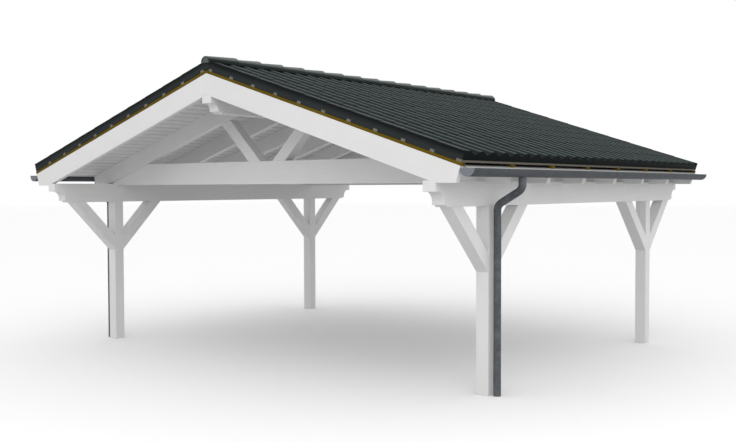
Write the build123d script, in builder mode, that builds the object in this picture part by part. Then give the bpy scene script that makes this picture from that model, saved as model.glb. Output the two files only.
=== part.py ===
from build123d import *
import os
from math import cos, radians, sin, tan

os.makedirs("parts", exist_ok=True)

# Double carport with a gable roof, millimetres, +X right, +Y back, +Z up.
# The front gable faces -Y, and the ground is Z = 0.

# Driving dimensions of the timber frame
roof_pitch = 18.0
timber_width = 140.0
frame_width = 6060.0
roof_length = 6010.0
gable_overhang = 930.0
purlin_top = 2125.0
purlin_depth = 240.0
ridge_purlin_depth = 200.0
brace_leg = 655.0
tie_beam_depth = 260.0
tie_beam_setback = 80.0
strut_gap = 200.0

# Moulded purlin heads: plain nose, step back, hollow, cheek and a toe on the underside
eave_head_nose = 97.0
eave_head_step = 55.0
eave_head_cove = 95.0
eave_head_cheek = 30.0
ridge_head_nose = 94.0
ridge_head_step = 40.0
ridge_head_cove = 70.0
ridge_head_cheek = 18.0
head_toe = 50.0

# Rafters
rafter_depth = 200.0
rafter_width = 80.0
verge_rafter_width = 60.0
eave_overhang = 268.0
eave_notch = 18.0
ridge_notch = 25.0
truss_rafter_lap = 5.0
inner_rafters = 6

# Roof layers, each measured square to the slope
board_thickness = 28.0
counter_batten_height = 30.0
counter_batten_width = 60.0
counter_batten_overrun = 5.0
tile_batten_height = 30.0
tile_batten_width = 60.0
tile_gauge = 342.0
eave_course_gauge = 298.0
ridge_batten_offset = 64.0

# Tile covering
tile_head_rise = 72.0
tile_nose_rise = 80.0
tile_nose_setback = 16.0
tile_eave_overhang = 35.0
verge_flap_thickness = 18.0
verge_flap_lift = 2.0
verge_slot_clearance = 1.5

# Ridge tiles
ridge_tile_cover = 375.0
ridge_tile_length = 450.0
ridge_front_overhang = 14.0
ridge_back_overhang = 51.0
ridge_tile_big_radius = 91.0
ridge_tile_small_radius = 68.0
ridge_tile_small_wall = 16.0
ridge_tile_socket_depth = 77.0
ridge_tile_socket_clearance = 0.3
ridge_tile_lift = 54.5
ridge_cap_thickness = 12.0

# Rainwater goods
gutter_radius = 76.5
gutter_wall = 3.0
gutter_back_overhang = 45.0
gutter_drop = 20.5
gutter_gap = 0.3
pipe_radius = 38.0
pipe_wall_gap = 24.0
pipe_outlet_drop = 115.0
pipe_swan_drop = 156.0
pipe_bend_radius = 85.0

# Values worked out from the driving dimensions
slope_tan = tan(radians(roof_pitch))
slope_cos = cos(radians(roof_pitch))
slope_sin = sin(radians(roof_pitch))
frame_half = frame_width / 2
rafter_reach = frame_half + eave_overhang
purlin_bottom = purlin_top - purlin_depth
tail_height = purlin_top - eave_notch
underside_apex = tail_height + frame_half * slope_tan
half_timber = timber_width / 2
ridge_seat = underside_apex - half_timber * slope_tan + ridge_notch
board_top = rafter_depth + board_thickness
counter_top = board_top + counter_batten_height
batten_top = counter_top + tile_batten_height
gable_front = -(roof_length + ridge_back_overhang - ridge_front_overhang) / 2
gable_back = gable_front + roof_length
post_fronts = {
    "front": gable_front + gable_overhang,
    "back": gable_back - gable_overhang - timber_width,
}
sides = {"left": -1, "right": 1}


def apex_height(rise):
    """Height on the ridge line of a layer whose top is rise mm above the rafters' underside."""
    return underside_apex + rise / slope_cos


def line_height(x, rise):
    """Height at distance x from the ridge of the layer rise mm above the underside."""
    return apex_height(rise) - x * slope_tan


def save(part, name):
    """Labels a finished piece and writes it to its own file."""
    part.label = name
    export_step(part, f"parts/{name}.step")


# Square posts, straight to the ground, with the purlins on their heads
for row, post_front in post_fronts.items():
    for side, sign in sides.items():
        with BuildPart() as post:
            post_x = sign * (frame_half - half_timber)
            with BuildSketch(Plane.XY) as post_section:
                with Locations((post_x, post_front + half_timber)):
                    Rectangle(timber_width, timber_width)
            extrude(amount=purlin_bottom)
        save(post.part, f"post_{row}_{side}")

# Braces at 45 degrees between each post and its purlin
brace_width = timber_width * 2 ** 0.5
for row, post_front in post_fronts.items():
    for end, direction, post_face in (
        ("front", -1, post_front),
        ("back", 1, post_front + timber_width),
    ):
        for side, sign in sides.items():
            foot = purlin_bottom - brace_leg
            outline = [
                (post_face, foot),
                (post_face + direction * brace_leg, purlin_bottom),
                (post_face + direction * (brace_leg - brace_width), purlin_bottom),
                (post_face, foot + brace_width),
            ]
            inner_face = sign * (frame_half - half_timber) - half_timber
            with BuildPart() as brace:
                with BuildSketch(Plane.YZ.offset(inner_face)) as brace_side:
                    with BuildLine():
                        Polyline(*outline, close=True)
                    make_face()
                extrude(amount=timber_width)
            save(brace.part, f"brace_{row}_{side}_{end}")


def purlin(centre_x, top, depth, nose, step, cove, cheek):
    """A purlin from gable to gable with a moulded head at each end."""
    nose_height = top - nose
    cove_height = nose_height - cove
    cheek_height = cove_height - cheek
    with BuildPart() as beam:
        with BuildSketch(Plane.YZ.offset(centre_x - half_timber)):
            with BuildLine():
                for gable, inward in ((gable_front, 1), (gable_back, -1)):
                    step_end = gable + inward * step
                    cove_end = step_end + inward * cove
                    toe_end = cove_end + inward * head_toe
                    Polyline((gable, top), (gable, nose_height), (step_end, nose_height))
                    RadiusArc((step_end, nose_height), (cove_end, cove_height), inward * cove)
                    Polyline(
                        (cove_end, cove_height),
                        (cove_end, cheek_height),
                        (toe_end, cheek_height),
                        (toe_end, top - depth),
                    )
                Line((gable_front, top), (gable_back, top))
                toe_inset = step + cove + head_toe
                Line((gable_front + toe_inset, top - depth), (gable_back - toe_inset, top - depth))
            make_face()
        extrude(amount=timber_width)
    return beam.part


for side, sign in sides.items():
    eave_purlin = purlin(
        sign * (frame_half - half_timber),
        purlin_top,
        purlin_depth,
        eave_head_nose,
        eave_head_step,
        eave_head_cove,
        eave_head_cheek,
    )
    save(eave_purlin, f"eave_purlin_{side}")
ridge_purlin = purlin(
    0,
    ridge_seat,
    ridge_purlin_depth,
    ridge_head_nose,
    ridge_head_step,
    ridge_head_cove,
    ridge_head_cheek,
)
save(ridge_purlin, "ridge_purlin")


def rafter(sign, back_y, width, depth):
    """A rafter notched over both purlins, its tail level below and square at the end."""
    end_top_x = rafter_reach - (board_top - depth) * slope_sin
    end_top = (end_top_x, line_height(end_top_x, depth))
    drop = (end_top[1] - tail_height) / slope_cos
    end_bottom = (end_top_x - drop * slope_sin, tail_height)
    seat_x = frame_half - eave_notch / slope_tan
    outline = [
        (0, apex_height(depth)),
        end_top,
        end_bottom,
        (frame_half, tail_height),
        (frame_half, purlin_top),
        (seat_x, purlin_top),
        (half_timber, line_height(half_timber, 0)),
        (half_timber, ridge_seat),
        (0, ridge_seat),
    ]
    with BuildPart() as piece:
        with BuildSketch(Plane.XZ.offset(-back_y)) as side_view:
            with BuildLine():
                Polyline(*[(sign * x, z) for x, z in outline], close=True)
            make_face()
        extrude(amount=width)
    return piece.part


first_rafter = gable_front + gable_overhang - truss_rafter_lap
rafter_run = roof_length - 2 * (gable_overhang - truss_rafter_lap)
rafter_centres = [first_rafter + rafter_run * step / (inner_rafters - 1) for step in range(inner_rafters)]
for side, sign in sides.items():
    verge_front = rafter(sign, gable_front + verge_rafter_width, verge_rafter_width, board_top)
    save(verge_front, f"verge_rafter_front_{side}")
    verge_back = rafter(sign, gable_back, verge_rafter_width, board_top)
    save(verge_back, f"verge_rafter_back_{side}")
    for number, centre in enumerate(rafter_centres, start=2):
        piece = rafter(sign, centre + rafter_width / 2, rafter_width, rafter_depth)
        save(piece, f"rafter_{number}_{side}")

# Tie beams and the V of struts, flush with the posts, cut to the rafters' underside
beam_top = purlin_top + tie_beam_depth
strut_width = timber_width * 2 ** 0.5
for row, post_front in post_fronts.items():
    beam_shoulder = (underside_apex - beam_top) / slope_tan
    nose_x = frame_half - tie_beam_setback
    half_outline = [(beam_shoulder, beam_top), (nose_x, line_height(nose_x, 0)), (nose_x, purlin_top)]
    mirrored = [(-x, z) for x, z in reversed(half_outline)]
    with BuildPart() as tie_beam:
        with BuildSketch(Plane.XZ.offset(-(post_front + timber_width))):
            with BuildLine():
                Polyline(*half_outline, *mirrored, close=True)
            make_face()
        extrude(amount=timber_width)
    save(tie_beam.part, f"tie_beam_{row}")
    for side, sign in sides.items():
        inner_foot = strut_gap / 2
        outer_foot = inner_foot + strut_width
        outline = [(inner_foot, beam_top), (outer_foot, beam_top)]
        for foot_x in (outer_foot, inner_foot):
            head_x = (underside_apex - beam_top + foot_x) / (1 + slope_tan)
            outline.append((head_x, line_height(head_x, 0)))
        with BuildPart() as strut:
            with BuildSketch(Plane.XZ.offset(-(post_front + timber_width))):
                with BuildLine():
                    Polyline(*[(sign * x, z) for x, z in outline], close=True)
                make_face()
            extrude(amount=timber_width)
        save(strut.part, f"truss_strut_{row}_{side}")


def layer_outline(bottom_rise, top_rise, end):
    """Section of a roof layer from the ridge to its end, which is square to the slope."""
    bottom_end = end + (bottom_rise - board_top) * slope_sin
    top_end = end + (top_rise - board_top) * slope_sin
    return [
        (0, line_height(0, top_rise)),
        (top_end, line_height(top_end, top_rise)),
        (bottom_end, line_height(bottom_end, bottom_rise)),
        (0, line_height(0, bottom_rise)),
    ]


def slope_block(inner, outer, bottom_rise, top_rise):
    """Section of a block on the counter battens, its ends square to the slope."""
    corners = []
    for x, rise in ((inner, bottom_rise), (outer, bottom_rise), (outer, top_rise), (inner, top_rise)):
        corner_x = x + (rise - counter_top) * slope_sin
        corners.append((corner_x, line_height(corner_x, rise)))
    return corners


# Boarding on the inner rafters, between the verge rafters, one node for each slope
for side, sign in sides.items():
    outline = layer_outline(rafter_depth, board_top, rafter_reach)
    with BuildPart() as boarding:
        with BuildSketch(Plane.XZ.offset(-(gable_back - verge_rafter_width))):
            with BuildLine():
                Polyline(*[(sign * x, z) for x, z in outline], close=True)
            make_face()
        extrude(amount=roof_length - 2 * verge_rafter_width)
    save(boarding.part, f"roof_boarding_{side}")

# Counter battens up the slope over every rafter
counter_end = rafter_reach + counter_batten_overrun
verge_batten_inset = counter_batten_width / 2
counter_centres = [gable_front + verge_batten_inset, *rafter_centres, gable_back - verge_batten_inset]
for side, sign in sides.items():
    outline = layer_outline(board_top, counter_top, counter_end)
    with BuildPart() as counter_battens:
        for centre in counter_centres:
            with BuildSketch(Plane.XZ.offset(-(centre + counter_batten_width / 2))):
                with BuildLine():
                    Polyline(*[(sign * x, z) for x, z in outline], close=True)
                make_face()
            extrude(amount=counter_batten_width)
    save(counter_battens.part, f"counter_battens_{side}")

# Tile battens along the roof, evenly spaced, with one more at the eave
batten_half = tile_batten_width / 2 * slope_cos
eave_batten = counter_end - batten_half
last_batten = eave_batten - eave_course_gauge * slope_cos
batten_run = last_batten - ridge_batten_offset
batten_gaps = round(batten_run / (tile_gauge * slope_cos))
batten_centres = [ridge_batten_offset + row * batten_run / batten_gaps for row in range(batten_gaps + 1)]
batten_centres.append(eave_batten)
for side, sign in sides.items():
    with BuildPart() as tile_battens:
        with BuildSketch(Plane.XZ.offset(-gable_back)):
            for centre in batten_centres:
                outline = slope_block(centre - batten_half, centre + batten_half, counter_top, batten_top)
                with BuildLine():
                    Polyline(*[(sign * x, z) for x, z in outline], close=True)
                make_face()
        extrude(amount=roof_length)
    save(tile_battens.part, f"tile_battens_{side}")

# Stepped tile covering, with a flap between the batten ends down each verge
covering_end = counter_end + tile_eave_overhang
course_ends = [centre - tile_nose_setback for centre in batten_centres[1:-1]] + [covering_end]
covering_outline = [(0, line_height(0, batten_top))]
course_start = 0
for course_end in course_ends:
    covering_outline.append((course_start, line_height(course_start, batten_top + tile_head_rise)))
    covering_outline.append((course_end, line_height(course_end, batten_top + tile_nose_rise)))
    course_start = course_end
covering_outline.append((covering_end, line_height(covering_end, batten_top)))
flap_foot = counter_top + verge_flap_lift
flap_root = batten_top + tile_head_rise / 2
slot_half = batten_half + verge_slot_clearance
flaps = [slope_block(0, batten_centres[0] - slot_half, flap_foot, flap_root)]
for upper, lower in zip(batten_centres[:-1], batten_centres[1:]):
    flaps.append(slope_block(upper + slot_half, lower - slot_half, flap_foot, flap_root))
for side, sign in sides.items():
    with BuildPart() as covering:
        with BuildSketch(Plane.XZ.offset(-gable_back)):
            with BuildLine():
                Polyline(*[(sign * x, z) for x, z in covering_outline], close=True)
            make_face()
        extrude(amount=roof_length)
        for flap_back in (gable_front + verge_flap_thickness, gable_back):
            with BuildSketch(Plane.XZ.offset(-flap_back)):
                for flap in flaps:
                    with BuildLine():
                        Polyline(*[(sign * x, z) for x, z in flap], close=True)
                    make_face()
            extrude(amount=verge_flap_thickness)
    save(covering.part, f"roof_tiles_{side}")


def ridge_foot(x):
    """Height of the top course, where the edge of a ridge tile stands at distance x."""
    rise = tile_head_rise + (tile_nose_rise - tile_head_rise) * x / course_ends[0]
    return line_height(x, batten_top + rise)


# Tapered half-round ridge tiles, each with its wide end over the next one's narrow end
ridge_axis = apex_height(batten_top) + ridge_tile_lift
ridge_run = roof_length + ridge_front_overhang + ridge_back_overhang
ridge_tile_gaps = round((ridge_run - ridge_tile_length) / ridge_tile_cover)
ridge_tile_step = (ridge_run - ridge_tile_length) / ridge_tile_gaps
ridge_front = gable_front - ridge_front_overhang
ridge_back = ridge_front + ridge_run
ridge_turn = Axis((0, 0, ridge_axis), (0, -1, 0))
bore = ridge_tile_small_radius - ridge_tile_small_wall
ridge_tile_taper = (ridge_tile_big_radius - ridge_tile_small_radius) / ridge_tile_length
ridge_tile_lap = ridge_tile_length - ridge_tile_step
socket = ridge_tile_small_radius + ridge_tile_taper * ridge_tile_lap + ridge_tile_socket_clearance
with BuildPart() as ridge_tiles:
    for number in range(ridge_tile_gaps + 1):
        narrow_y = ridge_front + number * ridge_tile_step
        wide_y = narrow_y + ridge_tile_length
        socket_y = wide_y - ridge_tile_socket_depth
        plan = [
            (bore, narrow_y),
            (ridge_tile_small_radius, narrow_y),
            (ridge_tile_big_radius, wide_y),
            (socket, wide_y),
            (socket, socket_y),
            (bore, socket_y),
        ]
        with BuildSketch(Plane.XY.offset(ridge_axis)) as barrel:
            with BuildLine():
                Polyline(*plan, close=True)
            make_face()
        revolve(axis=ridge_turn, revolution_arc=180)
        with BuildSketch(Plane.XY.offset(ridge_axis)) as legs:
            with BuildLine():
                Polyline(*plan, close=True)
            make_face()
            mirror(about=Plane.YZ)
        extrude(amount=-2 * ridge_tile_lift)
    for cap_back, cap_radius in (
        (ridge_front + ridge_cap_thickness, (bore + ridge_tile_small_radius) / 2),
        (ridge_back, (socket + ridge_tile_big_radius) / 2),
    ):
        with BuildSketch(Plane.XZ.offset(-cap_back)):
            with Locations((0, ridge_axis)):
                Circle(cap_radius)
            with Locations((0, ridge_axis - ridge_tile_lift)):
                Rectangle(2 * cap_radius, 2 * ridge_tile_lift)
        extrude(amount=ridge_cap_thickness)
    with BuildSketch(Plane.XZ.offset(-ridge_back)):
        with BuildLine():
            Polyline(
                (-course_ends[0], ridge_foot(course_ends[0])),
                (0, ridge_foot(0)),
                (course_ends[0], ridge_foot(course_ends[0])),
                close=True,
            )
        make_face()
        with Locations((0, ridge_foot(course_ends[0]) - ridge_tile_lift)):
            Rectangle(2 * course_ends[0], 2 * ridge_tile_lift)
    extrude(amount=ridge_run, mode=Mode.SUBTRACT)
save(ridge_tiles.part, "ridge_tiles")

# Half-round gutters against the boarding's edge, closed at both ends
gutter_top = line_height(rafter_reach, board_top) - gutter_drop
gutter_back = rafter_reach - gutter_drop * slope_tan + gutter_gap
gutter_centre = gutter_back + gutter_radius
gutter_length = roof_length + gutter_back_overhang
gutter_end = gable_front + gutter_length
for side, sign in sides.items():
    with BuildPart() as gutter:
        with BuildSketch(Plane.XZ.offset(-gutter_end)):
            with Locations((sign * gutter_centre, gutter_top)):
                Circle(gutter_radius)
            with Locations((sign * gutter_centre, gutter_top + gutter_radius / 2)):
                Rectangle(2 * gutter_radius, gutter_radius, mode=Mode.SUBTRACT)
        extrude(amount=gutter_length)
        with BuildSketch(Plane.XZ.offset(gutter_wall - gutter_end)):
            with Locations((sign * gutter_centre, gutter_top)):
                Circle(gutter_radius - gutter_wall)
        extrude(amount=gutter_length - 2 * gutter_wall, mode=Mode.SUBTRACT)
    save(gutter.part, f"gutter_{side}")

# Downpipes, saddled to the gutter's underside, with a swan neck back to the front posts
pipe_y = post_fronts["front"] + half_timber
pipe_x = frame_half + pipe_wall_gap + pipe_radius
gutter_bottom = gutter_top - gutter_radius
upper_bend = gutter_bottom - pipe_outlet_drop
lower_bend = upper_bend - pipe_swan_drop
for side, sign in sides.items():
    with BuildPart() as downpipe:
        with BuildLine():
            FilletPolyline(
                (sign * gutter_centre, pipe_y, gutter_top),
                (sign * gutter_centre, pipe_y, upper_bend),
                (sign * pipe_x, pipe_y, lower_bend),
                (sign * pipe_x, pipe_y, 0),
                radius=pipe_bend_radius,
            )
        with BuildSketch(Plane.XY.offset(gutter_top)):
            with Locations((sign * gutter_centre, pipe_y)):
                Circle(pipe_radius)
        sweep()
        with BuildSketch(Plane.XZ.offset(-(pipe_y + pipe_radius))):
            with Locations((sign * gutter_centre, gutter_top)):
                Circle(gutter_radius)
        extrude(amount=2 * pipe_radius, mode=Mode.SUBTRACT)
    save(downpipe.part, f"downpipe_{side}")
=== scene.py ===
import bmesh
import bpy
from math import cos, pi, radians, sin
from mathutils import Matrix, Vector
from random import Random


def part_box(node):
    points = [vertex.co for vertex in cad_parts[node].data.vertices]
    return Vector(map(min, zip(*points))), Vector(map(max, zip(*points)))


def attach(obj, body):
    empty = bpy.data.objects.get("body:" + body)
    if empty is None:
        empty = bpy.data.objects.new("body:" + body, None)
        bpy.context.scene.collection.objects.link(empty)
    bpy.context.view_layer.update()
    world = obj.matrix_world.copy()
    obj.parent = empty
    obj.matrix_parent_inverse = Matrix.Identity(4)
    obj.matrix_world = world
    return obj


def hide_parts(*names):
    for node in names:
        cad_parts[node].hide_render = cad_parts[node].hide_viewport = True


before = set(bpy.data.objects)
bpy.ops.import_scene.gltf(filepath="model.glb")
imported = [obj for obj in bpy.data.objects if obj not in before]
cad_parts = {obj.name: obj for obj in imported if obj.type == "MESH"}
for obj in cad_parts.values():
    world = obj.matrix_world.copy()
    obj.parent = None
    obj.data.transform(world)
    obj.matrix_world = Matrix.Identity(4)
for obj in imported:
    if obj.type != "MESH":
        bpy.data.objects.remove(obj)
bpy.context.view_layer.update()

# Camera. It stands front right of the carport at eye height, where its lens was solved from the
# straight edges of the frame, and it looks slightly down on the posts.
eye = Vector((7.832, -10.1185, 2.065))
heading = 38.1669
dip = 2.0078
tilt = -0.1542
lens = bpy.data.cameras.new("camera")
lens.sensor_fit = "HORIZONTAL"
lens.sensor_width = 36.0
lens.lens = 46.167
lens.clip_end = 400.0
camera = bpy.data.objects.new("camera", lens)
camera.matrix_world = (
    Matrix.Translation(eye)
    @ Matrix.Rotation(radians(heading), 4, "Z")
    @ Matrix.Rotation(radians(90 - dip), 4, "X")
    @ Matrix.Rotation(radians(tilt), 4, "Z")
)
bpy.context.scene.collection.objects.link(camera)
bpy.context.scene.camera = camera
bpy.context.scene.view_settings.view_transform = "Standard"

# Studio. A wide floor under an even white dome, with one large soft lamp high on the right, so
# that painted timber renders near its own white and the roof keeps a gentle shadow. The floor is
# pale where it is seen or mirrored, and throws less light than that on the undersides.
floor_reach = 90.0
floor_drop = 0.0005
floor_seen = (0.97, 0.97, 0.97, 1)
floor_unseen = (0.52, 0.52, 0.52, 1)
lamp_place = Vector((9.5, -10.5, 9.0))
lamp_target = Vector((0, 0, 1.5))
lamp_size = 12.0
lamp_power = 400.0


def start_finish(name):
    """A new finish: its material, its node tree and its shader."""
    finish = bpy.data.materials.new(name)
    finish.use_nodes = True
    return finish, finish.node_tree, finish.node_tree.nodes["Principled BSDF"]


def feed(tree, value, socket):
    """Gives a socket its value: a number, a colour, or what another node puts out."""
    if isinstance(value, bpy.types.NodeSocket):
        tree.links.new(value, socket)
    else:
        socket.default_value = value


def reckon(tree, operation, *terms):
    """Works out one sum on numbers that change over the surface."""
    node = tree.nodes.new("ShaderNodeMath")
    node.operation = operation
    for term, socket in zip(terms, node.inputs):
        feed(tree, term, socket)
    return node.outputs[0]


def lay_over(tree, mask, under, over):
    """Blends one colour over another where a mask is 1."""
    node = tree.nodes.new("ShaderNodeMix")
    node.data_type = "RGBA"
    feed(tree, mask, node.inputs[0])
    feed(tree, under, node.inputs[6])
    feed(tree, over, node.inputs[7])
    return node.outputs[2]


def make_piece(name, shape, finish):
    """Turns a finished shape into a piece of that name, in its place and with its finish."""
    mesh = bpy.data.meshes.new(name)
    shape.to_mesh(mesh)
    shape.free()
    mesh.materials.append(finish)
    piece = bpy.data.objects.new(name, mesh)
    bpy.context.scene.collection.objects.link(piece)
    return piece


floor_finish, floor_tree, floor_shader = start_finish("studio_floor_finish")
floor_shader.inputs["Roughness"].default_value = 0.9
floor_shader.inputs["Specular IOR Level"].default_value = 0.1
rays = floor_tree.nodes.new("ShaderNodeLightPath").outputs
seen = reckon(floor_tree, "MAXIMUM", rays["Is Camera Ray"], rays["Is Glossy Ray"])
seen = reckon(floor_tree, "MAXIMUM", seen, rays["Is Transmission Ray"])
floor_tone = lay_over(floor_tree, seen, floor_unseen, floor_seen)
feed(floor_tree, floor_tone, floor_shader.inputs["Base Color"])
floor_shape = bmesh.new()
bmesh.ops.create_grid(floor_shape, x_segments=1, y_segments=1, size=floor_reach)
bmesh.ops.translate(floor_shape, verts=floor_shape.verts, vec=(0, 0, -floor_drop))
floor = make_piece("studio_floor", floor_shape, floor_finish)

world = bpy.data.worlds.new("studio_dome")
world.use_nodes = True
world.node_tree.nodes["Background"].inputs["Color"].default_value = (1, 1, 1, 1)
world.node_tree.nodes["Background"].inputs["Strength"].default_value = 1.0
bpy.context.scene.world = world
lamp_data = bpy.data.lights.new("studio_softbox", "AREA")
lamp_data.shape = "DISK"
lamp_data.size = lamp_size
lamp_data.energy = lamp_power
lamp = bpy.data.objects.new("studio_softbox", lamp_data)
lamp_aim = (lamp_place - lamp_target).to_track_quat("Z", "Y")
lamp.matrix_world = Matrix.Translation(lamp_place) @ lamp_aim.to_matrix().to_4x4()
bpy.context.scene.collection.objects.link(lamp)

# Frame timbers: corner posts, knee braces, purlins, rafters, tie beams and truss struts. They are
# glued spruce, planed, with the arrises eased by hand, and sprayed an opaque satin white. The tie
# beams are notched down over the purlins, and the eave purlins are let up into the rafters.
pitch = radians(18)
arris = 0.003
beam_notch = 0.012
purlin_housing = 0.006
weld = 0.00002
face_depth = 0.001
facet_angle = 14
shading_angle = 50
grain_shift = 1.37
bands_share = 0.45
streaks_share = 0.55
rough_swing = 0.06
grain_depth = 0.0012


def start_group(name, takes, gives):
    """A new effect for finishes: its node tree, what it is given and what it puts out."""
    group = bpy.data.node_groups.new(name, "ShaderNodeTree")
    for way, sockets in (("INPUT", takes), ("OUTPUT", gives)):
        for socket, kind in sockets:
            group.interface.new_socket(socket, in_out=way, socket_type=f"NodeSocket{kind}")
    given = group.nodes.new("NodeGroupInput")
    result = group.nodes.new("NodeGroupOutput")
    return group, given.outputs, result.inputs


def noise(tree, place, scale, detail, roughness=0.5):
    """Cloudy variation over the surface."""
    node = tree.nodes.new("ShaderNodeTexNoise")
    feed(tree, place, node.inputs["Vector"])
    feed(tree, scale, node.inputs["Scale"])
    node.inputs["Detail"].default_value = detail
    node.inputs["Roughness"].default_value = roughness
    return node.outputs["Fac"]


def spread(tree, value, low=0.0, high=1.0, to_low=0.0, to_high=1.0):
    """Spreads the numbers between low and high over another range, and holds them there."""
    node = tree.nodes.new("ShaderNodeMapRange")
    node.inputs["From Min"].default_value = low
    node.inputs["From Max"].default_value = high
    node.inputs["To Min"].default_value = to_low
    node.inputs["To Max"].default_value = to_high
    feed(tree, value, node.inputs["Value"])
    return node.outputs["Result"]


def stored(tree, name, kind="Fac"):
    """What the mesh itself holds for each point under a name."""
    node = tree.nodes.new("ShaderNodeAttribute")
    node.attribute_name = name
    return node.outputs[kind]


def object_place(tree):
    """Each point's place on the piece."""
    return tree.nodes.new("ShaderNodeTexCoord").outputs["Object"]


def raise_relief(tree, shader, height, strength, depth):
    """Raises a fine relief on a finish."""
    relief = tree.nodes.new("ShaderNodeBump")
    relief.inputs["Strength"].default_value = strength
    relief.inputs["Distance"].default_value = depth
    feed(tree, height, relief.inputs["Height"])
    feed(tree, relief.outputs["Normal"], shader.inputs["Normal"])


def make_grain_group():
    """Grain that runs along a timber: broad bands with fine streaks, and the streaks' height."""
    group, given, result = start_group(
        "timber_grain",
        (("Vector", "Vector"), ("Streaks", "Float"), ("Stretch", "Float")),
        (("Tone", "Float"), ("Height", "Float")),
    )
    along = group.nodes.new("ShaderNodeCombineXYZ")
    feed(group, given["Stretch"], along.inputs[0])
    along.inputs[1].default_value = 1.0
    along.inputs[2].default_value = 1.0
    drawn = group.nodes.new("ShaderNodeVectorMath")
    drawn.operation = "MULTIPLY"
    feed(group, given["Vector"], drawn.inputs[0])
    feed(group, along.outputs[0], drawn.inputs[1])
    streaks = noise(group, drawn.outputs[0], given["Streaks"], detail=5.0, roughness=0.62)
    bands = noise(group, given["Vector"], scale=3.1, detail=3.0)
    tone = reckon(group, "MULTIPLY", bands, bands_share)
    tone = reckon(group, "MULTIPLY_ADD", streaks, streaks_share, tone)
    feed(group, tone, result["Tone"])
    feed(group, streaks, result["Height"])
    return group


grain_group = make_grain_group()


def timber_finish(name, light, dark, streaks, stretch, bump, rough, low, high, turned=None,
                  groove_shade=None, gloss=0.5):
    """Wood or painted wood. The grain follows the stored one, or the piece's own place, turned."""
    finish, tree, shader = start_finish(name)
    shader.inputs["Specular IOR Level"].default_value = gloss
    grain = tree.nodes.new("ShaderNodeGroup")
    grain.node_tree = grain_group
    grain.inputs["Streaks"].default_value = streaks
    grain.inputs["Stretch"].default_value = stretch
    if turned is None:
        feed(tree, stored(tree, "grain", "Vector"), grain.inputs["Vector"])
    else:
        turning = tree.nodes.new("ShaderNodeMapping")
        turning.inputs["Rotation"].default_value = turned
        feed(tree, object_place(tree), turning.inputs["Vector"])
        feed(tree, turning.outputs[0], grain.inputs["Vector"])
    tone = grain.outputs["Tone"]
    colour = lay_over(tree, spread(tree, tone, low, high), dark, light)
    # Where a groove colour is given, it is laid in the board joints as painted shade.
    if groove_shade:
        colour = lay_over(tree, stored(tree, "groove_shade"), colour, groove_shade)
    feed(tree, colour, shader.inputs["Base Color"])
    roughness = spread(tree, tone, to_low=rough + rough_swing, to_high=rough - rough_swing)
    feed(tree, roughness, shader.inputs["Roughness"])
    raise_relief(tree, shader, grain.outputs["Height"], bump, grain_depth)
    return finish


painted_timber = timber_finish(
    "painted_timber_finish", light=(0.81, 0.81, 0.81, 1), dark=(0.78, 0.78, 0.775, 1), streaks=46.0,
    stretch=0.05, bump=0.16, rough=0.42, low=0.38, high=0.62,
)


def store_grain(mesh, along, offset):
    """Stores each point's place in the timber's own directions, so that the grain follows it."""
    across = along.orthogonal().normalized()
    third = along.cross(across)
    place = mesh.attributes.new("grain", "FLOAT_VECTOR", "POINT")
    for vertex, value in zip(mesh.vertices, place.data):
        x, y, z = (vertex.co.dot(way) for way in (along, across, third))
        value.vector = (x + offset, y + offset, z)


def ease_edges(shape, edges, size, segments=1, clamp=False):
    """Takes the sharpness off some edges."""
    bmesh.ops.bevel(
        shape, geom=edges, offset=size, offset_type="OFFSET", segments=segments, profile=0.5,
        affect="EDGES", material=-1, clamp_overlap=clamp,
    )


def shade_smooth(shape, angle):
    """Shades a shape smooth, and keeps the edges sharp that turn by more than an angle."""
    for face in shape.faces:
        face.smooth = True
    for edge in shape.edges:
        turns = len(edge.link_faces) == 2 and edge.calc_face_angle(0) > radians(angle)
        edge.smooth = not turns


def shape_timber(node):
    """One timber as it was cut, with its notch or its seat, and its arrises eased."""
    timber = bmesh.new()
    timber.from_mesh(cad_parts[node].data)
    bmesh.ops.remove_doubles(timber, verts=timber.verts, dist=weld)
    if node.startswith("tie_beam"):
        beam_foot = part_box(node)[0].z + face_depth
        notched = [v for v in timber.verts if v.co.z < beam_foot]
        bmesh.ops.translate(timber, verts=notched, vec=(0, 0, -beam_notch))
    if node.startswith("eave_purlin"):
        purlin_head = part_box(node)[1].z - face_depth
        housed = [v for v in timber.verts if v.co.z > purlin_head]
        bmesh.ops.translate(timber, verts=housed, vec=(0, 0, purlin_housing))
    bmesh.ops.dissolve_limit(
        timber, angle_limit=radians(1), verts=timber.verts, edges=timber.edges, delimit={"NORMAL"}
    )
    arrises = [
        e for e in timber.edges
        if len(e.link_faces) == 2 and e.calc_face_angle() > radians(facet_angle)
    ]
    ease_edges(timber, arrises, arris, segments=2, clamp=True)
    bmesh.ops.triangulate(timber, faces=[f for f in timber.faces if len(f.verts) > 4])
    shade_smooth(timber, shading_angle)
    return timber


def runs_along(node):
    """The direction in which a timber runs, or None where the node isn't a timber."""
    lean = -1 if "left" in node else 1
    if node.startswith("post"):
        return Vector((0, 0, 1))
    if node.startswith("brace"):
        return Vector((0, -1 if node.endswith("front") else 1, 1))
    if "purlin" in node:
        return Vector((0, 1, 0))
    if "rafter" in node:
        return Vector((lean * cos(pitch), 0, -sin(pitch)))
    if node.startswith("tie_beam"):
        return Vector((1, 0, 0))
    if node.startswith("truss_strut"):
        return Vector((lean, 0, 1))
    return None


timbers = [node for node in sorted(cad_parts) if runs_along(node) is not None]
for number, node in enumerate(timbers, start=1):
    piece = make_piece(f"{node}_timber", shape_timber(node), painted_timber)
    store_grain(piece.data, runs_along(node).normalized(), number * grain_shift)
    weighted = piece.modifiers.new("flat_faces", "WEIGHTED_NORMAL")
    weighted.keep_sharp = True
    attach(piece, "root")
    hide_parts(node)
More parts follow.
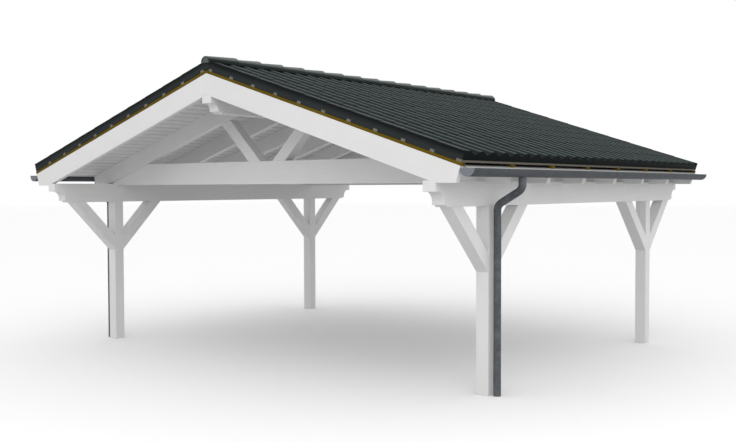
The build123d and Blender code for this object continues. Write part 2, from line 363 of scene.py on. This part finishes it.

# Roof boarding. Each slope carries 28 tongued and grooved spruce boards, laid along the roof and
# nailed to the rafters, planed and painted below, with a V groove where two boards meet. The
# grooves are laid dark as painted shade.
apex = 3.0915
roof_middle = -0.0185
boarding_reach = 3.298
board_count = 28
board_cover = boarding_reach / cos(pitch) / board_count
board_joint = 0.0004
board_bottom = 0.200
board_thickness = 0.028
board_drift = 0.0005
groove = 0.009
ridge_strip = 0.02
ridge_joint = 0.0003
board_grain_shift = 2.0
boarding_seeds = {"left": 7, "right": 11}
painted_boarding = timber_finish(
    "painted_boarding_finish", light=(0.78, 0.78, 0.78, 1), dark=(0.74, 0.74, 0.735, 1),
    streaks=40.0, stretch=0.05, bump=0.2, rough=0.45, low=0.38, high=0.62,
    groove_shade=(0.10, 0.10, 0.10, 1),
)


def to_slope(side):
    """Places a piece made level, with x down the slope and z square to it, on one slope."""
    turn_over = Matrix.Identity(4)
    if side == "left":
        turn_over = Matrix.Translation((0, 2 * roof_middle, 0)) @ Matrix.Rotation(pi, 4, "Z")
    return turn_over @ Matrix.Translation((0, 0, apex)) @ Matrix.Rotation(pitch, 4, "Y")


def keep_to_side(verts, side, clear):
    """Holds points back to their own slope, a little short of the ridge line."""
    for vertex in verts:
        if side == "left":
            vertex.co.x = min(vertex.co.x, -clear)
        else:
            vertex.co.x = max(vertex.co.x, clear)


def lay_block(shape, size, middle):
    """Adds a plain board or strip, and gives back its points."""
    made = bmesh.ops.create_cube(shape, size=1.0)["verts"]
    bmesh.ops.scale(shape, vec=size, verts=made)
    bmesh.ops.translate(shape, verts=made, vec=middle)
    return made


for side in ("left", "right"):
    boards = bmesh.new()
    chance = Random(boarding_seeds[side])
    low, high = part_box(f"roof_boarding_{side}")
    for number in range(board_count):
        rise = board_bottom + board_thickness / 2 + chance.uniform(-board_drift, board_drift)
        made = lay_block(
            boards, (board_cover - board_joint, high.y - low.y, board_thickness),
            (board_cover * (number + 0.5), roof_middle, rise),
        )
        lower = [
            e for e in {edge for v in made for edge in v.link_edges}
            if all(v.co.z < board_bottom + 0.01 for v in e.verts)
            and abs(e.verts[0].co.y - e.verts[1].co.y) > 1
        ]
        ease_edges(boards, lower, groove)
    # The board joints are marked, to take the painted shade of the grooves.
    groove_shade = boards.verts.layers.float.new("groove_shade")
    for vertex in boards.verts:
        joint = round(vertex.co.x / board_cover)
        at_joint = abs(vertex.co.x - joint * board_cover) < 0.001 and 0 < joint < board_count
        vertex[groove_shade] = 1.0 if at_joint else 0.0
    bmesh.ops.transform(boards, matrix=to_slope(side), verts=boards.verts)
    keep_to_side([v for v in boards.verts if abs(v.co.x) < ridge_strip], side, ridge_joint)
    boarding = make_piece(f"boarding_{side}", boards, painted_boarding)
    store_grain(boarding.data, Vector((0, 1, 0)), board_grain_shift)
    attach(boarding, "root")
    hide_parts(f"roof_boarding_{side}")

# Counter battens. Sawn softwood laths, pressure treated to an ochre brown, nailed up the slope
# over every rafter; their ends show over the gutter and their edge shows along the verge.
ochre_light = (0.160, 0.104, 0.007, 1)
ochre_dark = (0.105, 0.068, 0.004, 1)
for side, lean in (("left", -1), ("right", 1)):
    finish = timber_finish(
        f"counter_batten_{side}_finish", light=ochre_light, dark=ochre_dark, streaks=70.0,
        stretch=0.04, bump=0.5, rough=0.8, low=0.35, high=0.65, turned=(0, -lean * pitch, 0),
        gloss=0.06,
    )
    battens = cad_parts[f"counter_battens_{side}"]
    battens.data.materials.clear()
    battens.data.materials.append(finish)

# Tile battens. Sawn pale softwood, nailed across the counter battens, one for each course and one
# more at the eave, laid darker as painted shade under the tile noses; their square ends show in the
# verge.
pale_light = (0.215, 0.200, 0.172, 1)
pale_dark = (0.145, 0.132, 0.110, 1)
eave_batten_shade = (0.175, 0.162, 0.135, 1)
eave_shade_from = 3.20
eave_shade_to = 3.24


def place_along(tree, axis):
    """Each point's place on the piece along one axis."""
    apart = tree.nodes.new("ShaderNodeSeparateXYZ")
    feed(tree, object_place(tree), apart.inputs[0])
    return apart.outputs[axis]


def lay_shading(finish, mask, colour):
    """Lays another colour on a finish where a mask is 1; the painted shade and painted light go on
    this way.
    """
    tree = finish.node_tree
    base = tree.nodes["Principled BSDF"].inputs["Base Color"]
    feed(tree, lay_over(tree, mask, base.links[0].from_socket, colour), base)


for side in ("left", "right"):
    finish = timber_finish(
        f"tile_batten_{side}_finish", light=pale_light, dark=pale_dark, streaks=60.0, stretch=0.04,
        bump=0.5, rough=0.8, low=0.35, high=0.65, turned=(0, 0, pi / 2), gloss=0.06,
    )
    # Painted shade: the eave batten, under the tile noses, is laid darker.
    from_ridge = reckon(finish.node_tree, "ABSOLUTE", place_along(finish.node_tree, "X"))
    lay_shading(finish, spread(finish.node_tree, from_ridge, low=eave_shade_from, high=eave_shade_to), eave_batten_shade)
    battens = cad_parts[f"tile_battens_{side}"]
    battens.data.materials.clear()
    battens.data.materials.append(finish)

# Roof tiles. Fired clay with one wave to a tile and a dark slate engobe, with a paler painted sheen
# on the crests for the sky's reflection, hung on the battens in ten courses of twenty-nine, nose
# over head and roll over the next one's edge. The near and far hands of tile finish the covering at
# the gables.
batten_top = 0.288
gauge = 0.341965
courses = 10
columns = 29
tile_length = 0.401
tile_head = -0.0885
tile_cover = 0.213
gable = -3.0235
roof_length = 6.010
first_crest = 0.096
wave_height = 0.034
nose_rise = 0.080
course_step = 0.0036
head_body = 0.0078
nose_body = 0.0028
nose_arris = 0.0014
edge_lap = 0.0085
roll_start = -0.03
roll_end = 0.12
tile_slide = 0.0008
tile_lift = 0.0003
tile_clear = 0.001
crest_sheen_width = 0.30
piece_share = 0.25
speck_share = 0.25
cloud_share = 0.5
clay_depth = 0.0006
clay_angle = 38
near_hand, middle_hand, far_hand = 0, 1, 2
tile_seeds = {"left": 21, "right": 34}


def make_fired_clay_group():
    """Engobed clay: cloudy firing tone, fine speckle, a paler painted sheen on the crowns and a
    sandy height.
    """
    group, given, result = start_group(
        "fired_clay",
        (("Vector", "Vector"), ("Piece", "Float"), ("Sheen Mask", "Float"), ("Light", "Color"),
         ("Dark", "Color"), ("Sheen Colour", "Color")),
        (("Color", "Color"), ("Roughness", "Float"), ("Height", "Float")),
    )
    cloud = noise(group, given["Vector"], scale=7.0, detail=6.0, roughness=0.6)
    speck = noise(group, given["Vector"], scale=260.0, detail=2.0)
    firing = reckon(group, "MULTIPLY", given["Piece"], piece_share)
    firing = reckon(group, "MULTIPLY_ADD", speck, speck_share, firing)
    firing = reckon(group, "MULTIPLY_ADD", cloud, cloud_share, firing)
    paler = spread(group, firing, low=0.3, high=0.72)
    colour = lay_over(group, paler, given["Dark"], given["Light"])
    patches = spread(group, firing, to_low=0.75, to_high=1.15)
    sheen_amount = reckon(group, "MULTIPLY", given["Sheen Mask"], patches)
    sheen_amount.node.use_clamp = True
    # Painted sheen: the crowns take a paler colour that stands in for the sky's reflection.
    feed(group, lay_over(group, sheen_amount, colour, given["Sheen Colour"]), result["Color"])
    feed(group, spread(group, cloud, to_low=0.36, to_high=0.54), result["Roughness"])
    feed(group, speck, result["Height"])
    return group


clay_group = make_fired_clay_group()


def clay_finish(name, light, dark, sheen_colour, gloss, bump):
    """Clay. The tone of each tile and where its painted sheen lies are stored in the mesh."""
    finish, tree, shader = start_finish(name)
    shader.inputs["Specular IOR Level"].default_value = gloss
    clay = tree.nodes.new("ShaderNodeGroup")
    clay.node_tree = clay_group
    feed(tree, object_place(tree), clay.inputs["Vector"])
    feed(tree, stored(tree, "single"), clay.inputs["Piece"])
    feed(tree, stored(tree, "sheen_mask"), clay.inputs["Sheen Mask"])
    for socket, colour in (("Light", light), ("Dark", dark), ("Sheen Colour", sheen_colour)):
        clay.inputs[socket].default_value = colour
    feed(tree, clay.outputs["Color"], shader.inputs["Base Color"])
    feed(tree, clay.outputs["Roughness"], shader.inputs["Roughness"])
    raise_relief(tree, shader, clay.outputs["Height"], bump, clay_depth)
    return finish


# The tiles' third colour is a painted sheen on the crests.
tile_finish = clay_finish(
    "roof_tile_finish", light=(0.013, 0.018, 0.018, 1), dark=(0.006, 0.009, 0.009, 1),
    sheen_colour=(0.066, 0.088, 0.086, 1), gloss=0.02, bump=0.25,
)


def wave_at(width):
    """Wave of the covering at a width measured from a crest: 0 on the crest, 1 in the pan."""
    return (1 - cos(2 * pi * width / tile_cover)) / 2


def tile_rise(wave, from_nose):
    """Height of a tile's top over the rafters' underside, at a wave and a way up from its nose."""
    return batten_top + nose_rise - wave_height * wave - course_step * from_nose / gauge


def draw_out(shape, faces):
    """Extrudes faces on the spot, and gives back their new points, to be moved."""
    drawn = bmesh.ops.extrude_face_region(shape, geom=faces)
    return [v for v in drawn["geom"] if isinstance(v, bmesh.types.BMVert)]


def shape_tile(stations):
    """One tile as a closed shell, from stations of (width, wave, drop) across it."""
    shell = bmesh.new()
    bmesh.ops.create_grid(shell, x_segments=1, y_segments=len(stations) - 1, size=1.0)
    for vertex in shell.verts:
        width, wave, drop = stations[round((vertex.co.y + 1) / 2 * (len(stations) - 1))]
        along, from_nose = (tile_length, 0.0) if vertex.co.x > 0 else (0.0, tile_length)
        vertex.co = Vector((along, width, tile_rise(wave, from_nose) - drop))
    bmesh.ops.recalc_face_normals(shell, faces=shell.faces)
    if sum(f.normal.z for f in shell.faces) < 0:
        bmesh.ops.reverse_faces(shell, faces=shell.faces)
    underside = draw_out(shell, shell.faces[:])
    for vertex in underside:
        vertex.co.z -= nose_body if vertex.co.x > tile_length / 2 else head_body
    bmesh.ops.recalc_face_normals(shell, faces=shell.faces)
    nose = [
        e for e in shell.edges
        if all(v.co.x > tile_length - 0.001 and v not in underside for v in e.verts)
    ]
    ease_edges(shell, nose, nose_arris)
    return shell


def sheen_at(place):
    """How much painted sheen a point of a tile takes, by how near it is to its crest; the cut face
    of the nose gets none.
    """
    if place.x > tile_length - 0.0005:
        return 0.0
    wave = (tile_rise(0.0, tile_length - place.x) - place.z) / wave_height
    return min(1.0, max(0.0, 1 - wave / crest_sheen_width))


def on_verge_roll(hand, place):
    """Whether a point lies on the roll that closes the covering at a gable."""
    return hand == near_hand and place.y < roll_start or hand == far_hand and place.y > roll_end


# The near hand starts on its verge roll, and the far hand ends on one, after a pan of its own.
near_widths = (-0.034, -0.022, 0.01, 0.026, 0.042, 0.058, 0.075)
near_stations = [
    (-first_crest, 0.16, 0.0), (-first_crest + 0.006, 0.03, 0.0), (-first_crest + 0.02, 0.0, 0.0),
] + [(w, wave_at(max(w, 0)), 0.0) for w in near_widths]
middle_widths = (
    -0.163, -0.1385, -0.138, -0.121, -0.1065, -0.09, -0.074, -0.058, -0.042, -0.026, -0.01, 0.01,
    0.026, 0.042, 0.058, 0.075,
)
middle_stations = [(w, wave_at(w), edge_lap if w < -0.1382 else 0.0) for w in middle_widths]
far_width = roof_length - (first_crest + tile_cover * (columns - 2))
far_stations = [(w, wave_at(w), edge_lap if w < 0.05 else 0.0) for w in (0.040, 0.0495)] + [
    (0.05, wave_at(0.05), 0.0), (0.066, wave_at(0.066), 0.0), (0.085, wave_at(0.085), 0.0),
    (0.106, 1.0, 0.0), (0.120, 0.86, 0.0), (0.134, 0.42, 0.0), (0.146, 0.08, 0.0),
    (far_width - 0.006, 0.02, 0.0), (far_width, 0.16, 0.0),
]
tile_meshes = []
for stations in (near_stations, middle_stations, far_stations):
    tile = shape_tile(stations)
    tile_mesh = bpy.data.meshes.new("one_tile")
    tile.to_mesh(tile_mesh)
    tile.free()
    tile_meshes.append(tile_mesh)

for side in ("left", "right"):
    covering = bmesh.new()
    tone = covering.verts.layers.float.new("single")
    sheen_mask = covering.verts.layers.float.new("sheen_mask")
    chance = Random(tile_seeds[side])
    for course in range(courses):
        for column in range(columns):
            hand = near_hand if column == 0 else far_hand if column == columns - 1 else middle_hand
            start = len(covering.verts)
            covering.from_mesh(tile_meshes[hand])
            covering.verts.ensure_lookup_table()
            made = covering.verts[start:]
            firing = chance.random()
            for vertex in made:
                vertex[tone] = firing
                # Each point's share of the painted crest sheen, none on the verge rolls.
                vertex[sheen_mask] = 0.0 if on_verge_roll(hand, vertex.co) else sheen_at(vertex.co)
            crest = gable + first_crest + tile_cover * min(column, columns - 2)
            slide = chance.uniform(-tile_slide, tile_slide)
            lift = chance.uniform(-tile_lift, tile_lift)
            bmesh.ops.translate(
                covering, verts=made, vec=(tile_head + gauge * course + slide, crest, lift)
            )
    bmesh.ops.transform(covering, matrix=to_slope(side), verts=covering.verts)
    keep_to_side(covering.verts, side, tile_clear)
    shade_smooth(covering, clay_angle)
    tiles = make_piece(f"wave_tiles_{side}", covering, tile_finish)
    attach(tiles, "root")
    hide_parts(f"roof_tiles_{side}")
for tile_mesh in tile_meshes:
    bpy.data.meshes.remove(tile_mesh)

# Verge flaps. Each verge tile turns down over the batten ends and is notched round every batten;
# the far hand of tile covers the eave batten too. The lower strip is laid paler as painted light
# from the ground.
flap_thickness = 0.015
flap_proud = 0.0015
flap_foot = 0.2604
flap_below = 0.0046
flap_top = tile_rise(0.0, gauge * 0.5) - flap_below
flap_strip = 0.300
flap_joint = 0.0006
flap_arris = 0.0018
flap_clear = 0.0005
notch_top = 0.2832
notch_half = 0.0245
first_notch = -0.01654
eave_batten = 3.35915
ridge_end = -0.12
strip_ground_light = 0.75
flap_seeds = {"left": 73, "right": 91}
# The flaps' third colour is painted light on their lower strip.
flap_finish = clay_finish(
    "verge_flap_finish", light=(0.0068, 0.0083, 0.0083, 1), dark=(0.0042, 0.0053, 0.0054, 1),
    sheen_colour=(0.037, 0.0435, 0.0455, 1), gloss=0.03, bump=0.25,
)
notches = [first_notch + gauge * course for course in range(courses)] + [eave_batten]
noses = [ridge_end] + [tile_head + gauge * course + tile_length for course in range(courses)]


def flap_outline(course, far):
    """Outline of one flap, from its head round to its foot, as (way down the slope, height)."""
    head, nose = noses[course] + flap_joint, noses[course + 1]
    foot_start = notches[course] + notch_half
    foot_end = notches[course + 1] - notch_half
    outline = [(head, flap_top), (nose, flap_top)]
    if far and course == courses - 1:
        outline += [(nose, flap_foot)]
    else:
        outline += [(nose, notch_top), (foot_end, notch_top), (foot_end, flap_foot)]
    outline += [(foot_start, flap_foot), (foot_start, notch_top)]
    if course == 0:
        ridge_side = notches[0] - notch_half
        outline += [(ridge_side, notch_top), (ridge_side, flap_foot), (head, flap_foot)]
    else:
        outline += [(head, notch_top)]
    return outline


for side in ("left", "right"):
    flaps = bmesh.new()
    tone = flaps.verts.layers.float.new("single")
    sheen_mask = flaps.verts.layers.float.new("sheen_mask")
    chance = Random(flap_seeds[side])
    near_y = gable - flap_proud
    far_y = gable + roof_length + flap_proud - flap_thickness
    for far, outer_y in ((False, near_y), (True, far_y)):
        for course in range(courses):
            firing = chance.random()
            corners = [flaps.verts.new((s, outer_y, rise)) for s, rise in flap_outline(course, far)]
            back = draw_out(flaps, [flaps.faces.new(corners)])
            bmesh.ops.translate(flaps, verts=back, vec=(0, flap_thickness, 0))
            for vertex in corners + back:
                vertex[tone] = firing
    bmesh.ops.recalc_face_normals(flaps, faces=flaps.faces)
    ease_edges(flaps, flaps.edges[:], flap_arris)
    bmesh.ops.bisect_plane(
        flaps, geom=flaps.verts[:] + flaps.edges[:] + flaps.faces[:],
        plane_co=(0, 0, flap_strip), plane_no=(0, 0, 1),
    )
    bmesh.ops.triangulate(flaps, faces=[f for f in flaps.faces if len(f.verts) > 4])
    # Painted light: the lower strip of each flap takes the paler colour.
    for vertex in flaps.verts:
        vertex[sheen_mask] = strip_ground_light if vertex.co.z < flap_strip + 0.001 else 0.0
    bmesh.ops.transform(flaps, matrix=to_slope(side), verts=flaps.verts)
    keep_to_side(flaps.verts, side, flap_clear)
    verge = make_piece(f"verge_flaps_{side}", flaps, flap_finish)
    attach(verge, "root")

# Combs. A dark plastic comb on the eave batten fills the waves under the first course, a thin
# apron hangs before that batten, and a soft black strip on the top course closes its waves below
# the ridge tiles.
ridge_foot = 0.3655
comb_inset = 0.018
comb_length = roof_length - 2 * comb_inset
comb_steps = 12 * (columns - 1)
comb_lift = 0.0012
comb_flat = 0.0003
strip_lift = 0.0015
strip_flat = 0.0002
roll_width = 0.03
roll_wave = 0.1
eave_comb = (3.3450, 3.3885, 0.0, nose_body + comb_lift, batten_top + comb_flat)
ridge_comb = (-0.060, -0.0215, 0.33, strip_lift, ridge_foot - strip_flat)
apron_top = 0.292
apron_foot = 0.2795
apron_s = 3.3899
apron_thickness = 0.0012
comb_finish = clay_finish(
    "comb_finish", light=(0.0090, 0.0125, 0.0125, 1), dark=(0.0060, 0.0080, 0.0080, 1),
    sheen_colour=(0.02, 0.02, 0.02, 1), gloss=0.02, bump=0.4,
)


def wave_under(reach):
    """Wave of the covering at a distance from the front gable, level on the verge rolls."""
    if reach > roof_length - comb_inset - roll_width:
        return roll_wave
    return 0.0 if reach < first_crest else wave_at(reach - first_crest)


for side in ("left", "right"):
    comb = bmesh.new()
    for comb_start, comb_end, from_nose, clearance, flat in (eave_comb, ridge_comb):
        bmesh.ops.create_grid(comb, x_segments=1, y_segments=comb_steps, size=1.0)
        made = [v for v in comb.verts if abs(v.co.x) == 1.0 and abs(v.co.z) < 1e-6]
        for vertex in made:
            reach = (vertex.co.y + 1) / 2 * comb_length + comb_inset
            vertex.co = Vector((
                comb_end if vertex.co.x > 0 else comb_start,
                gable + reach,
                tile_rise(wave_under(reach), from_nose) - clearance,
            ))
        for vertex in draw_out(comb, [f for f in comb.faces if all(v in made for v in f.verts)]):
            vertex.co.z = flat
    lay_block(
        comb, (apron_thickness, comb_length, apron_top - apron_foot),
        (apron_s, gable + roof_length / 2, (apron_top + apron_foot) / 2),
    )
    bmesh.ops.recalc_face_normals(comb, faces=comb.faces)
    bmesh.ops.transform(comb, matrix=to_slope(side), verts=comb.verts)
    strips = make_piece(f"comb_{side}", comb, comb_finish)
    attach(strips, "root")

# Ridge tiles. Sixteen tapered half-round clay tiles in the same engobe, each with its rounded wide
# end over the next one's narrow end. Their feet stand on the top courses, and their crowns carry a
# paler painted highlight where the sky lights them.
ridge_bed = 0.0545
ridge_overhang = 0.014
ridge_axis = apex + batten_top / cos(pitch) + ridge_bed
ridge_front = gable - ridge_overhang
ridge_count = 16
ridge_step = 0.375
ridge_length = 0.450
ridge_facets = 22
wide_radius = 0.0895
ridge_weld = 0.00001
sheen_starts = 0.34
sheen_spread = 0.32
ridge_seed = 55
barrel = (
    (0.0540, 0.0), (0.0665, 0.0), (0.0680, 0.002), (wide_radius, 0.428), (0.0897, 0.436),
    (0.0872, 0.444), (0.0815, 0.4492), (0.0760, ridge_length), (0.0720, 0.448),
)
# The ridge tiles' third colour is the painted highlight on their crowns.
ridge_finish = clay_finish(
    "ridge_tile_finish", light=(0.018, 0.026, 0.025, 1), dark=(0.011, 0.016, 0.015, 1),
    sheen_colour=(0.150, 0.170, 0.165, 1), gloss=0.08, bump=0.25,
)
ridge = bmesh.new()
tone = ridge.verts.layers.float.new("single")
sheen_mask = ridge.verts.layers.float.new("sheen_mask")
chance = Random(ridge_seed)


def foot_on_slopes(section):
    """Draws the end of a half-round down to both slopes, just clear of the crests."""
    for vertex in draw_out(ridge, section):
        fall = abs(vertex.co.x) * sin(pitch) / cos(pitch)
        vertex.co.z = apex + ridge_foot / cos(pitch) - fall


for number in range(ridge_count):
    narrow_end = ridge_front + number * ridge_step
    corners = [ridge.verts.new((reach, narrow_end + along, ridge_axis)) for reach, along in barrel]
    section = ridge.faces.new(corners)
    foot_on_slopes([section])
    section.normal_update()
    turned = bmesh.ops.spin(
        ridge, geom=[section], cent=(0, 0, ridge_axis), axis=(0, -1, 0), angle=pi,
        steps=ridge_facets, use_duplicate=False,
    )
    foot_on_slopes([g for g in turned["geom_last"] if isinstance(g, bmesh.types.BMFace)])
    firing = chance.random()
    for vertex in ridge.verts:
        if vertex.co.y > narrow_end - 0.0001 and vertex[tone] == 0.0:
            # Painted highlight: the upper part of each ridge tile takes the paler colour.
            height = (vertex.co.z - ridge_axis) / wide_radius
            vertex[tone] = firing
            vertex[sheen_mask] = min(1.0, max(0.0, height - sheen_starts) / sheen_spread)
bmesh.ops.remove_doubles(ridge, verts=ridge.verts, dist=ridge_weld)
inner = [
    f for f in ridge.faces
    if all(abs(v.co.z - ridge_axis) < 1e-6 for v in f.verts) and len(f.verts) > 4
]
bmesh.ops.delete(ridge, geom=inner, context="FACES_ONLY")
bmesh.ops.recalc_face_normals(ridge, faces=ridge.faces)
shade_smooth(ridge, clay_angle)
ridge_row = make_piece("ridge_row", ridge, ridge_finish)
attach(ridge_row, "root")
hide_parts("ridge_tiles")

# Ridge discs. A flat clay disc with a raised rim, bare of gloss and paler than the tiles, closes
# the open end of the ridge row over each gable.
disc_foot = 3.4429
front_reach = 0.0664
back_reach = 0.0742
disc_rim = 0.009
disc_hollow = 0.002
disc_sunk = 0.004
disc_thickness = 0.012
front_set_in = 0.0005
back_set_in = 0.004
disc_finish = clay_finish(
    "ridge_disc_finish", light=(0.115, 0.128, 0.125, 1), dark=(0.088, 0.099, 0.097, 1),
    sheen_colour=(0.13, 0.14, 0.14, 1), gloss=0.2, bump=0.4,
)
front_face = ridge_front + front_set_in
back_face = ridge_front + (ridge_count - 1) * ridge_step + ridge_length - back_set_in
for end, reach, face_y, inward in (
    ("front", front_reach, front_face, 1), ("back", back_reach, back_face, -1)
):
    disc = bmesh.new()
    bmesh.ops.create_circle(
        disc, cap_ends=True, cap_tris=False, segments=2 * ridge_facets, radius=reach
    )
    bmesh.ops.rotate(
        disc, verts=disc.verts, cent=(0, 0, 0), matrix=Matrix.Rotation(pi / 2 * inward, 3, "X")
    )
    bmesh.ops.translate(disc, verts=disc.verts, vec=(0, face_y, ridge_axis))
    bmesh.ops.bisect_plane(
        disc, geom=disc.verts[:] + disc.edges[:] + disc.faces[:], plane_co=(0, 0, disc_foot),
        plane_no=(0, 0, -1), clear_outer=True,
    )
    field = disc.faces[:]
    for width in (disc_rim, disc_hollow):
        bmesh.ops.inset_region(disc, faces=field, thickness=width, depth=0.0, use_even_offset=True)
        field = [f for f in disc.faces if len(f.verts) > 4]
    for vertex in {v for f in field for v in f.verts}:
        vertex.co.y += disc_sunk * inward
    for vertex in draw_out(disc, disc.faces[:]):
        vertex.co.y = face_y + disc_thickness * inward
    bmesh.ops.recalc_face_normals(disc, faces=disc.faces)
    ridge_disc = make_piece(f"ridge_disc_{end}", disc, disc_finish)
    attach(ridge_disc, "root")

# Gutters. Half-round zinc, pre-weathered to a blue grey, rolled and soldered, with a flat stop end
# at each gable; the front stop end is laid paler, as painted light on its face turned to the front;
# they hang close to the edge of the boarding.
zinc_metallic = 0.15
zinc_gloss = 0.15
zinc_bump = 0.08
zinc_depth = 0.001
crystal_scale = 75.0
crystal_share = 0.14
zinc_cloud_share = 0.86
stop_end_from = -3.0222
stop_end_to = -3.0218
stop_end_painted_light = (0.202, 0.217, 0.240, 1)


def make_zinc_group():
    """Weathered zinc: soft clouds with faint crystals, their roughness, and the clouds' height."""
    group, given, result = start_group(
        "weathered_zinc",
        (("Vector", "Vector"), ("Cloud Size", "Float"), ("Light", "Color"), ("Dark", "Color")),
        (("Color", "Color"), ("Roughness", "Float"), ("Height", "Float")),
    )
    cloud = noise(group, given["Vector"], given["Cloud Size"], detail=5.0, roughness=0.55)
    crystal = group.nodes.new("ShaderNodeTexVoronoi")
    crystal.inputs["Scale"].default_value = crystal_scale
    feed(group, given["Vector"], crystal.inputs["Vector"])
    crystal_tone = group.nodes.new("ShaderNodeSeparateColor")
    feed(group, crystal.outputs["Color"], crystal_tone.inputs[0])
    tone = reckon(group, "MULTIPLY", cloud, zinc_cloud_share)
    tone = reckon(group, "MULTIPLY_ADD", crystal_tone.outputs[0], crystal_share, tone)
    paler = spread(group, tone, low=0.33, high=0.67)
    feed(group, lay_over(group, paler, given["Dark"], given["Light"]), result["Color"])
    feed(group, spread(group, tone, to_low=0.50, to_high=0.68), result["Roughness"])
    feed(group, cloud, result["Height"])
    return group


zinc_group = make_zinc_group()


def zinc_finish(name, light, dark, cloud_size):
    """Weathered zinc, with clouds of a size that suits the piece."""
    finish, tree, shader = start_finish(name)
    shader.inputs["Metallic"].default_value = zinc_metallic
    shader.inputs["Specular IOR Level"].default_value = zinc_gloss
    zinc = tree.nodes.new("ShaderNodeGroup")
    zinc.node_tree = zinc_group
    feed(tree, object_place(tree), zinc.inputs["Vector"])
    for socket, value in (("Cloud Size", cloud_size), ("Light", light), ("Dark", dark)):
        zinc.inputs[socket].default_value = value
    feed(tree, zinc.outputs["Color"], shader.inputs["Base Color"])
    feed(tree, zinc.outputs["Roughness"], shader.inputs["Roughness"])
    raise_relief(tree, shader, zinc.outputs["Height"], zinc_bump, zinc_depth)
    return finish


gutter_finish = zinc_finish(
    "gutter_zinc_finish", light=(0.088, 0.097, 0.107, 1), dark=(0.058, 0.064, 0.071, 1),
    cloud_size=5.0,
)
gutter_tree = gutter_finish.node_tree
along_gutter = place_along(gutter_tree, "Y")
stop_end_light_mask = spread(
    gutter_tree, along_gutter, low=stop_end_from, high=stop_end_to, to_low=1.0, to_high=0.0
)
# Painted light: the front stop end is laid paler, as the lit face turned to the front.
lay_shading(gutter_finish, stop_end_light_mask, stop_end_painted_light)
for side in ("left", "right"):
    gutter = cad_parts[f"gutter_{side}"]
    gutter.data.materials.clear()
    gutter.data.materials.append(gutter_finish)

# Downpipes. The same zinc, seam soldered, 76 mm across: outlet, swan neck of two bends and one
# straight length down beside the front post.
pipe_finish = zinc_finish(
    "downpipe_zinc_finish", light=(0.140, 0.150, 0.163, 1), dark=(0.075, 0.080, 0.089, 1),
    cloud_size=11.0,
)
for side in ("left", "right"):
    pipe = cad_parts[f"downpipe_{side}"]
    pipe.data.materials.clear()
    pipe.data.materials.append(pipe_finish)
